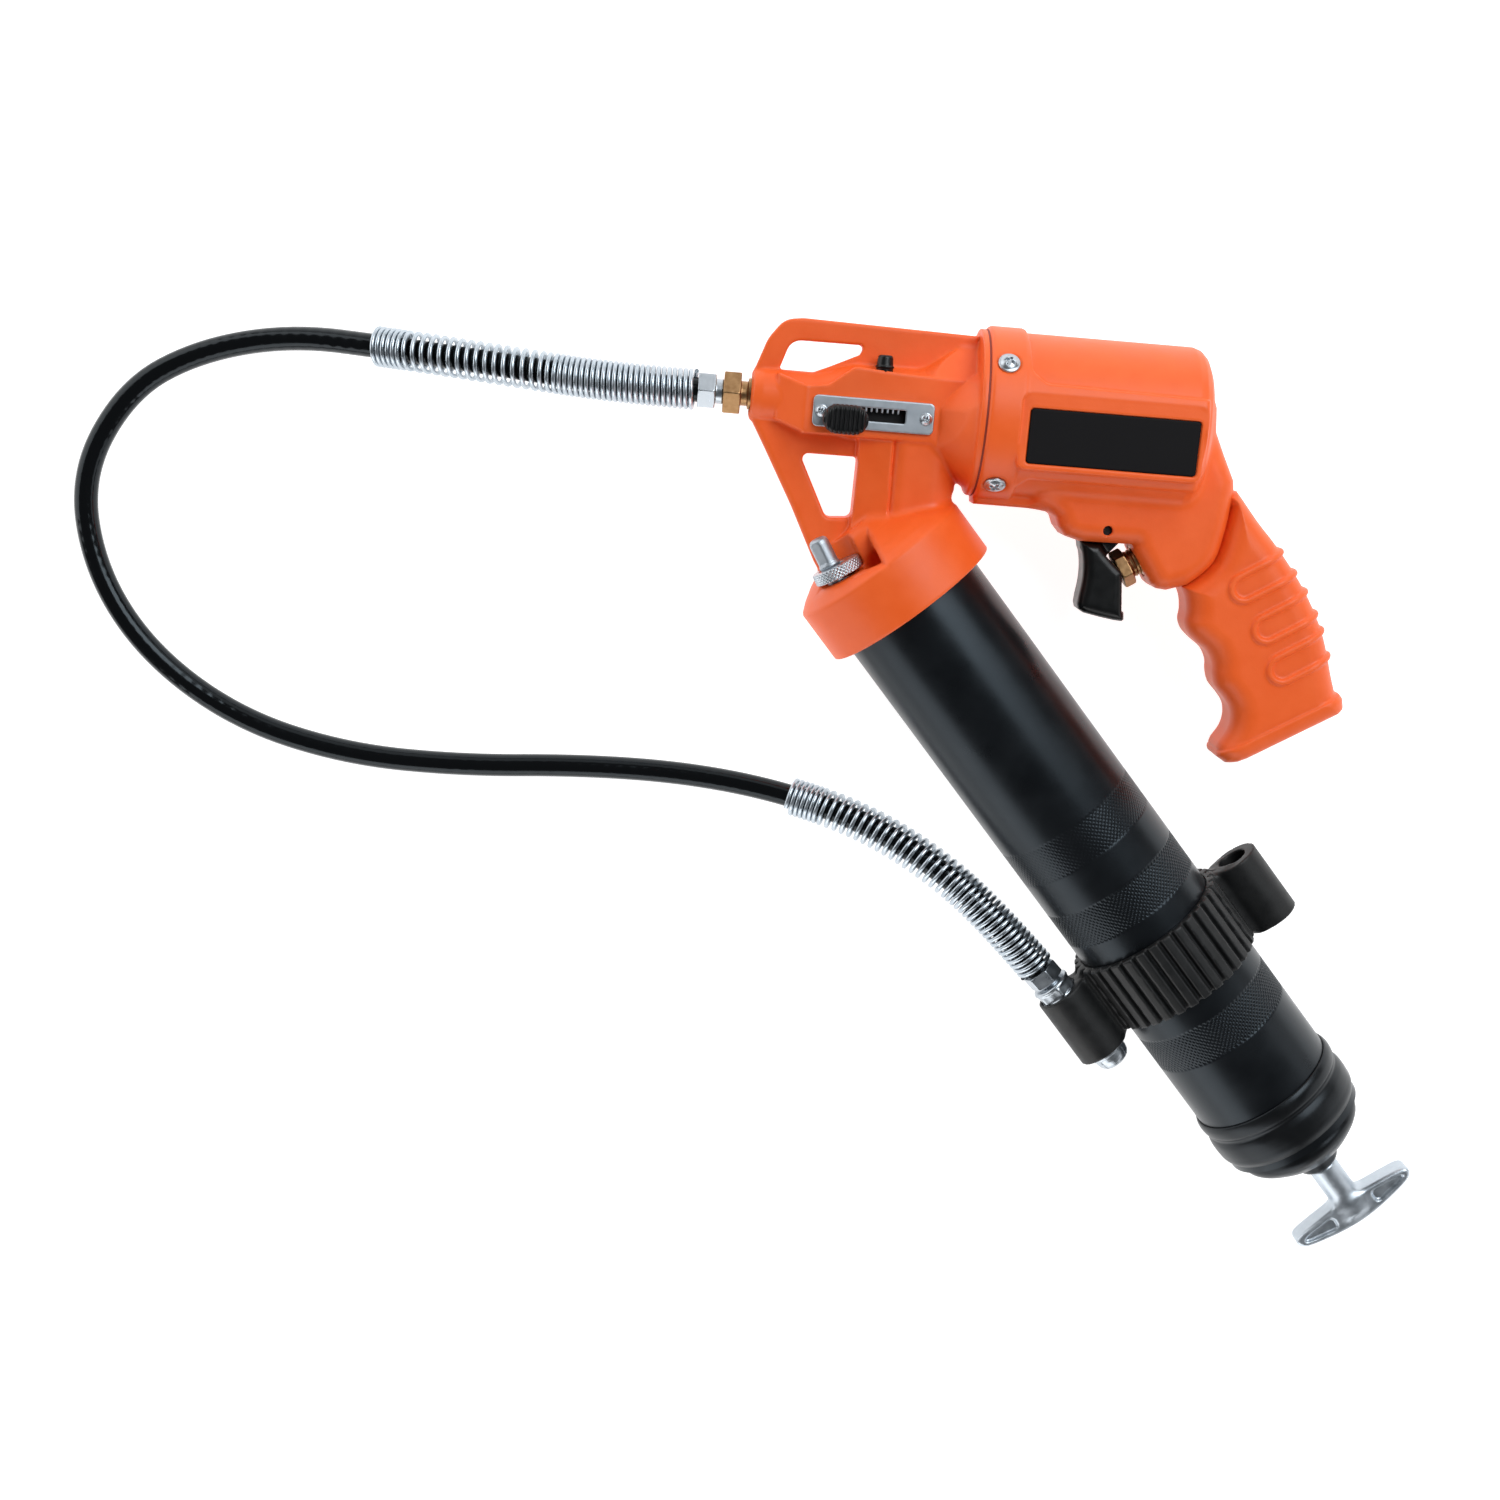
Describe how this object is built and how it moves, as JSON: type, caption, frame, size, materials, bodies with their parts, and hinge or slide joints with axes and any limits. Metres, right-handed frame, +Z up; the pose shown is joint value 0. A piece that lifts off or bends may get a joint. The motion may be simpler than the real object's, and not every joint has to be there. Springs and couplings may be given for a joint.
{
  "type": "air grease gun",
  "caption": "Air-operated pistol-grip grease gun lying on its side: orange cast head and motor, black cartridge barrel, T-handle and a looped hose with spring guards.",
  "frame": {"origin": "centre of the underside of the box round the gun without its hose, on the surface that the gun lies on", "axes": "+Z up, out of the gun's side that carries the selector plate; +Y towards the top of the motor; +X along the pump axis towards the grip"},
  "size_m": [0.5435, 0.3472, 0.0704],
  "materials": {
    "orange_paint": "fine-textured orange powder coat on cast aluminium",
    "black_tube": "semi-gloss black coat on steel tube, with knurled bands",
    "black_rubber": "moulded black rubber",
    "hose_black": "glossy black hose cover",
    "black_plastic": "moulded black plastic",
    "label_black": "blank black label",
    "zinc_steel": "bright zinc plate",
    "chrome_steel": "polished",
    "steel": "plain steel",
    "zinc_cast": "bright cast zinc alloy",
    "brass": "machined brass"
  },
  "bodies": {
    "gun_body": {"head_casting": "orange_paint", "pump_sleeve": "steel", "outlet_adapter": "brass", "bleed_valve_body": "zinc_steel", "selector_plate": "zinc_steel", "selector_screws": "zinc_steel", "motor_housing": "orange_paint", "housing_gasket": "black_rubber", "housing_screws": "zinc_steel", "name_labels": "label_black", "rod_packing": "black_rubber", "grip": "orange_paint", "air_inlet_bush": "zinc_steel", "trigger_pin": "zinc_steel", "trigger_valve_body": "brass", "barrel_gasket": "black_rubber", "barrel_tube": "black_tube", "barrel_end_cap": "steel", "end_boot": "black_rubber", "hose_holder": "black_rubber", "hose": "hose_black", "spring_guard_head": "zinc_steel", "spring_guard_tip": "zinc_steel", "hose_ferrule_head": "zinc_steel", "hose_ferrule_tip": "zinc_steel", "coupler_body": "zinc_steel", "coupler_jaws": "chrome_steel", "check_spring": "steel", "bleed_valve_spring": "steel", "release_button_spring": "steel", "piston_return_spring": "steel", "trigger_valve_spring": "steel", "follower_spring": "steel"},
    "check_ball": {"check_ball": "chrome_steel"},
    "bleed_stem": {"bleed_valve_stem": "zinc_steel"},
    "selector": {"selector_knob": "black_plastic"},
    "release_button": {"release_button": "black_plastic"},
    "piston": {"air_piston": "zinc_cast", "piston_seal": "black_rubber", "pump_plunger": "chrome_steel", "plunger_clip": "steel"},
    "trigger": {"trigger": "black_plastic"},
    "valve_stem": {"trigger_valve_stem": "steel"},
    "follower": {"follower_cup": "black_rubber", "follower_front_plate": "steel", "follower_back_plate": "steel"},
    "pull_rod": {"pull_rod": "steel", "t_handle": "zinc_cast", "rod_clips": "steel"}
  },
  "joints": [
    {"name": "check_lift", "type": "slide", "parent": "gun_body", "child": "check_ball", "axis": [-1, 0, 0], "range_m": [0, 0.0015], "stiffness_N_per_m": 200, "springref_m": -0.002, "deforming": ["check_spring"]},
    {"name": "bleed_press", "type": "slide", "parent": "gun_body", "child": "bleed_stem", "axis": [0.5225, -0.8526, 0], "range_m": [0, 0.002], "stiffness_N_per_m": 600, "springref_m": -0.003, "deforming": ["bleed_valve_spring"]},
    {"name": "selector_slide", "type": "slide", "parent": "gun_body", "child": "selector", "axis": [1, 0, 0], "range_m": [0, 0.014]},
    {"name": "button_press", "type": "slide", "parent": "gun_body", "child": "release_button", "axis": [0, -1, 0], "range_m": [0, 0.002], "stiffness_N_per_m": 500, "springref_m": -0.002, "deforming": ["release_button_spring"]},
    {"name": "piston_stroke", "type": "slide", "parent": "gun_body", "child": "piston", "axis": [-1, 0, 0], "range_m": [0, 0.025], "stiffness_N_per_m": 900, "springref_m": -0.006, "deforming": ["piston_return_spring"]},
    {"name": "trigger_pivot", "type": "hinge", "parent": "gun_body", "child": "trigger", "pos_m": [-0.00239, 0.10341, 0.0352], "axis": [0, 0, 1], "range_deg": [0, 10], "stiffness_Nm_per_rad": 0.8, "springref_deg": -5.73},
    {"name": "valve_press", "type": "slide", "parent": "gun_body", "child": "valve_stem", "axis": [0.8351, 0.5501, 0], "range_m": [0, 0.0036], "deforming": ["trigger_valve_spring"]},
    {"name": "follower_slide", "type": "slide", "parent": "gun_body", "child": "follower", "axis": [0.6607, -0.7507, 0], "range_m": [0, 0.185], "stiffness_N_per_m": 250, "springref_m": -0.15, "deforming": ["follower_spring"]},
    {"name": "rod_spin", "type": "hinge", "parent": "follower", "child": "pull_rod", "pos_m": [-0.13439, 0.14181, 0.0352], "axis": [0.6607, -0.7507, 0], "continuous": true}
  ],
  "couplings": [
    {"joint": "valve_press", "follows": "trigger_pivot", "m_per_rad": 0.020053}
  ]
}
